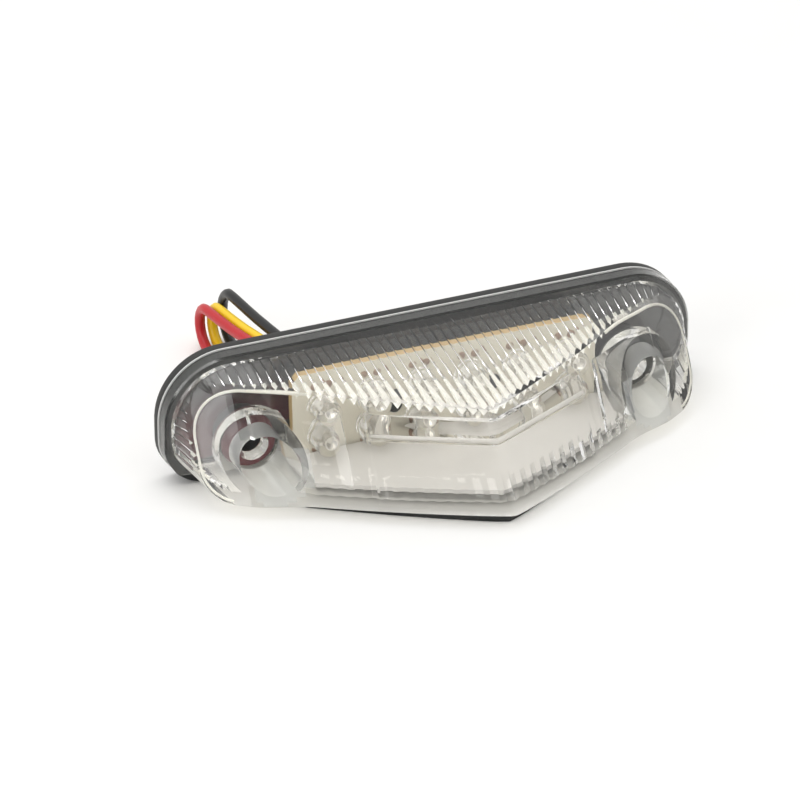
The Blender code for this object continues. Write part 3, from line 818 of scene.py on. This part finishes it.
def build_shell():
    """Back shell with its pocket, the thin roof plate under the lens, bosses, posts and stakes."""
    rings = []
    for out, inset in ((2.3, 0.7), (2.45, 0.45), (4.85, 0.42), (5.0, 0.55)):
        rings.append([(x, out, z) for x, z in shell_outline(inset, 0.0, SHELL_STEP)])
    shell = prism("back_shell", rings)
    pocket = shell_outline(2.3, 3.8, SHELL_STEP)
    boolean(shell, prism("pocket", [[(x, out, z) for x, z in pocket] for out in (4.1, 6.0)]), "DIFFERENCE")
    plan = []
    for k in range(-FLOOR_STEPS, FLOOR_STEPS + 1):
        x = 30.0 * k / FLOOR_STEPS
        plan.append((x, v_edge(x) - 2.2 - 0.07 * abs(x)))
    plan = [(-34.0, 4.5), (-34.0, 16.0)] + plan + [(34.0, 16.0), (34.0, 4.5)]
    roof = prism("roof", [[(x, out, z) for x, out in plan] for z in (0.0, 2.1)])
    modify(roof, "BEVEL", width=0.25 * MM, segments=2, limit_method="ANGLE")
    boolean(shell, roof, "UNION")
    for side in (-1, 1):
        boolean(shell, turned("boss", side * BORE_X, BORE_Z, [(4.7, 3.9), (4.6, 8.9)], 40), "UNION")
        boolean(shell, turned("post", side * 26.3, 16.6, [(1.6, 3.9), (1.6, 8.4)], 20), "UNION")
        stake = [(1.6, 3.9), (1.6, 8.4), (1.0, 8.4), (1.0, 10.6), (1.5, 10.6), (1.35, 10.95), (0.9, 11.2)]
        boolean(shell, turned("stake", side * 9.2, 10.7, stake, 24), "UNION")
        hole = [(HOLE_R, 1.0), (HOLE_R, 11.0)]
        boolean(shell, turned("hole", side * BORE_X, BORE_Z, hole, 32), "DIFFERENCE")
    boolean(shell, block("slot", (-24.8, -15.2), (1.0, 5.5), (9.2, 13.8)), "DIFFERENCE")
    smooth(shell, 35.0)
    finish_piece(shell, shell_mat, "shell", "base_housing")
    # the left lobe's outward faces get the painted shade and painted red reflection
    shell.data.materials.append(shell_lobe_shade_mat)
    for face in shell.data.polygons:
        if face.normal.y < -0.9 and face.center.x < -0.0285 and face.center.y > (DEPTH / 2.0 - 9.2) * MM:
            face.material_index = 1


def build_skirt_edge_highlight():
    """Whitish ring at the back edge of the lens's skirt, where it meets the gasket: a painted highlight."""
    outer, inner = shell_outline(-0.04, 0.0, SHELL_STEP), shell_outline(0.38, 0.0, SHELL_STEP)
    rows = []
    for ring, out in ((outer, 2.03), (outer, 2.25), (inner, 2.25), (inner, 2.03)):
        rows.append([(x, out, z) for x, z in ring])
    edge = grid("skirt_edge", [row + [row[0]] for row in rows + [rows[0]]])
    tidy_mesh(edge, close=False)
    smooth(edge, 40.0)
    finish_piece(edge, skirt_edge_highlight_mat, "lens")


def build_front_edge_highlight():
    """Whitish rod round each end of the front, just inside the clear corner: a painted highlight along the
    front edge.
    """
    for side, label in ((-1, "left"), (1, "right")):
        path = []
        for part, t, turn, _ in wall_stops(WALL_STEP):
            top_end = part == "top" and END_X * (1.0 - 2.0 * t) > 28.0
            if top_end or (turn == side and part != "top"):
                x, out, z = along(ruling(part, t, 0.4, side), 1.0)
                path.append(spot(x, out - 0.45, z))
        pick(rod("front_edge_" + label, path, 0.24, 2))
        bpy.ops.object.convert(target="MESH")
        finish_piece(smooth(bpy.context.object), painted_highlight_mat, "lens")


def build_leds():
    """Twelve clear dome LEDs with a flange, and the metal frames inside them."""
    seat = 10.6
    body = seat + 3.4
    dome = 2.38
    profile = [(0.6, seat), (2.75, seat), (2.75, seat + 0.7), (2.65, seat + 0.8), (2.4, seat + 0.8),
               (dome, body)]
    for k in range(1, 8):
        angle = math.radians(12.0 * k)
        profile.append((dome * math.cos(angle), body + dome * math.sin(angle)))
    frames = []
    for row, z in (("lower", 7.9), ("upper", 13.5)):
        for n in range(LEDS_IN_ROW):
            x = (n - 2.5) * LED_PITCH
            led = turned(f"clear_led_{row}_{n + 1}", x, z, profile, 28)
            smooth(led, 35.0)
            finish_piece(led, led_mat, "led", f"led_{row}_{n + 1}")
            cup = turned("led_cup", x + 0.35, z, [(0.9, 13.0), (0.95, 14.2), (0.8, 14.2), (0.35, 13.6)], 16)
            post = block("led_post", (x - 1.3, x - 0.8), (10.9, 13.9), (z - 0.25, z + 0.25))
            stem = block("led_stem", (x + 0.1, x + 0.6), (10.9, 13.0), (z - 0.25, z + 0.25))
            frames += [cup, post, stem]
    finish_piece(join(frames, "led_frames"), frame_mat, "led")


def build_pads():
    """Soldered pads of the through holes: a row above the upper LEDs and one below the lower LEDs."""
    pads = []
    for n in range(LEDS_IN_ROW):
        for leg in (-1.27, 1.27):
            x = (n - 2.5) * LED_PITCH + leg
            pads.append(turned("pad", x, 16.9, [(0.75, 10.3), (0.7, 10.42), (0.3, 10.6)], 14))
            pads.append(turned("pad", x, 5.05, [(0.5, 10.3), (0.45, 10.4), (0.2, 10.5)], 14))
    finish_piece(join(pads, "board_pads"), pad_mat, "board")


build_leads()
build_gasket()
build_shell()
build_leds()
build_pads()
build_lens(clear_mat)
build_skirt_edge_highlight()
build_front_edge_highlight()

# ---------------------------------------------------------------- stage

deselect()
bpy.ops.mesh.primitive_plane_add(size=6.0, location=(0.0, 0.0, 0.0))
floor = bpy.context.object
floor.name = "pale_floor"
floor.data.materials.append(floor_mat)

world = bpy.data.worlds.new("soft_room")
bpy.context.scene.world = world
world.use_nodes = True
world.node_tree.nodes["Background"].inputs["Color"].default_value = (1.0, 1.0, 1.0, 1.0)
room = world.node_tree.nodes
facing = room.new("ShaderNodeVectorMath")
facing.operation = "DOT_PRODUCT"
facing.inputs[1].default_value = (-0.346, -0.805, 0.482)
dim = room.new("ShaderNodeMapRange")
for label, value in (("From Min", 0.80), ("From Max", 0.95), ("To Min", 0.88), ("To Max", 0.15)):
    dim.inputs[label].default_value = value
world.node_tree.links.new(room.new("ShaderNodeTexCoord").outputs["Generated"], facing.inputs[0])
world.node_tree.links.new(facing.outputs["Value"], dim.inputs["Value"])
world.node_tree.links.new(dim.outputs["Result"], room["Background"].inputs["Strength"])


def softbox(name, place, target, size, power):
    lamp = bpy.data.lights.new(name, "AREA")
    lamp.shape = "RECTANGLE"
    lamp.size, lamp.size_y = size
    lamp.energy = power
    obj = bpy.data.objects.new(name, lamp)
    obj.location = place
    obj.rotation_euler = (Vector(target) - Vector(place)).to_track_quat("-Z", "Y").to_euler()
    bpy.context.scene.collection.objects.link(obj)


softbox("top_box", (-0.15, 0.1, 0.9), (0.0, 0.0, 0.0), (0.9, 0.7), 4.0)
softbox("left_box", (-0.8, -0.5, 0.5), (0.0, 0.0, 0.0), (0.5, 0.5), 2.5)

camera = bpy.data.cameras.new("camera")
camera.lens = 252.9
camera.sensor_width = 36.0
camera.clip_end = 20.0
camera_obj = bpy.data.objects.new("camera", camera)
camera_obj.location = (-0.34595, -0.77392, 0.48123)
az, el = math.radians(-23.30), math.radians(28.83)
back = Vector((math.sin(az) * math.cos(el), -math.cos(az) * math.cos(el), math.sin(el)))
camera_obj.rotation_euler = back.to_track_quat("Z", "Y").to_euler()
bpy.context.scene.collection.objects.link(camera_obj)
bpy.context.scene.camera = camera_obj
bpy.context.scene.view_settings.view_transform = "Standard"
